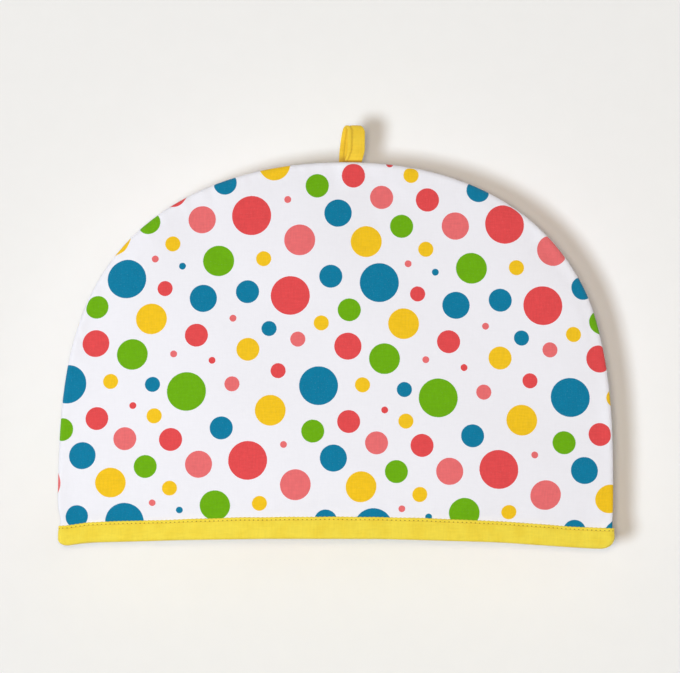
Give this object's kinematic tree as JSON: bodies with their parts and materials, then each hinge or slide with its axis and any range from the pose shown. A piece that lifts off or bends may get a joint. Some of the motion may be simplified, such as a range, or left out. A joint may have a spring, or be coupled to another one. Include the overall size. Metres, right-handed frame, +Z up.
{
  "type": "tea cosy",
  "caption": "Padded dome-shaped tea cosy in spotted cotton, with a bound hem, open underneath, and a hanging loop at the top.",
  "frame": {"origin": "under the middle of the hem, on the surface that the cosy stands on", "axes": "+Z up, +X to the right along the width of the cosy, and the front panel faces -Y"},
  "size_m": [0.3807, 0.075, 0.2868],
  "materials": {
    "printed_cotton": "plain-woven white cotton printed with spots in red, pink, blue, green and yellow, padded",
    "binding_cotton": "plain-woven yellow cotton, folded and topstitched",
    "loop_cotton": "plain-woven yellow cotton strip, folded and stitched"
  },
  "bodies": {
    "root": {"front_panel": "printed_cotton", "back_panel": "printed_cotton", "hem_binding": "binding_cotton", "hanging_loop": "loop_cotton"}
  },
  "joints": []
}
